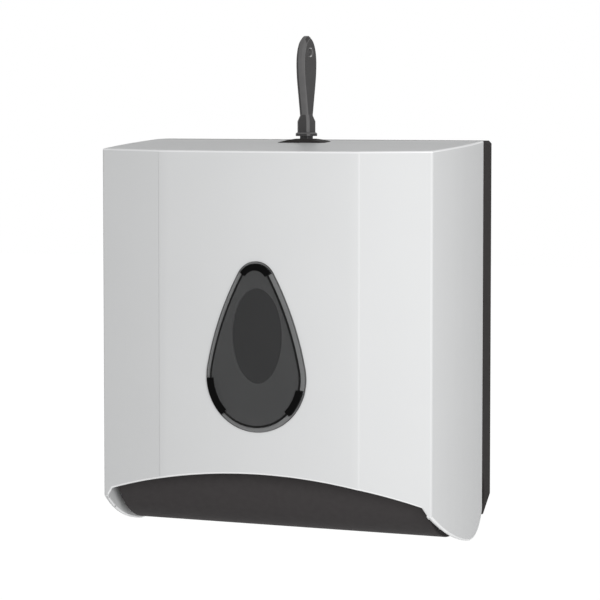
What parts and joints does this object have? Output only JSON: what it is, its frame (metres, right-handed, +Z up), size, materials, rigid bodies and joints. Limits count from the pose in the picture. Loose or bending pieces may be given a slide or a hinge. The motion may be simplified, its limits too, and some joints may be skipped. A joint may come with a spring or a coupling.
{
  "type": "interfold paper dispenser",
  "caption": "Wall-mounted cabinet for interfolded paper: hinged shell cover with a teardrop level window, dark back plate and outlet tray, and a top key lock.",
  "frame": {"origin": "centre of the four wall screw holes, on the wall", "axes": "+X to the right seen from the room, -Y out into the room, +Z up"},
  "size_m": [0.2686, 0.1198, 0.3614],
  "materials": {
    "white_abs": "satin moulded",
    "charcoal_abs": "fine moulded grain",
    "smoked_acrylic": "polished, smoked",
    "grey_nylon": "satin moulded",
    "zinc_steel": "zinc plated"
  },
  "bodies": {
    "base": {"back_plate": "charcoal_abs", "outlet_tray": "charcoal_abs", "tray_screws": "zinc_steel", "hinge_pin_left": "zinc_steel", "hinge_pin_right": "zinc_steel", "paper_guide_left": "charcoal_abs", "paper_guide_right": "charcoal_abs", "guide_screws": "zinc_steel", "latch_keeper": "zinc_steel", "keeper_screws": "zinc_steel"},
    "cover": {"front_cover": "white_abs", "level_window": "smoked_acrylic", "lock_housing": "charcoal_abs", "nut_washer": "zinc_steel", "lock_nut": "zinc_steel"},
    "lock": {"lock_plug": "charcoal_abs", "cam_washer": "zinc_steel", "lock_cam": "zinc_steel", "cam_screw": "zinc_steel"},
    "key": {"key": "grey_nylon"}
  },
  "joints": [
    {"name": "cover_hinge", "type": "hinge", "parent": "base", "child": "cover", "pos_m": [0, -0.043, -0.115], "axis": [1, 0, 0], "range_deg": [0, 90]},
    {"name": "lock_turn", "type": "hinge", "parent": "cover", "child": "lock", "pos_m": [0, -0.033, 0.12], "axis": [0, 0, 1], "range_deg": [0, 90]},
    {"name": "key_pull", "type": "slide", "parent": "lock", "child": "key", "axis": [0, 0, 1], "range_m": [0, 0.03]}
  ]
}
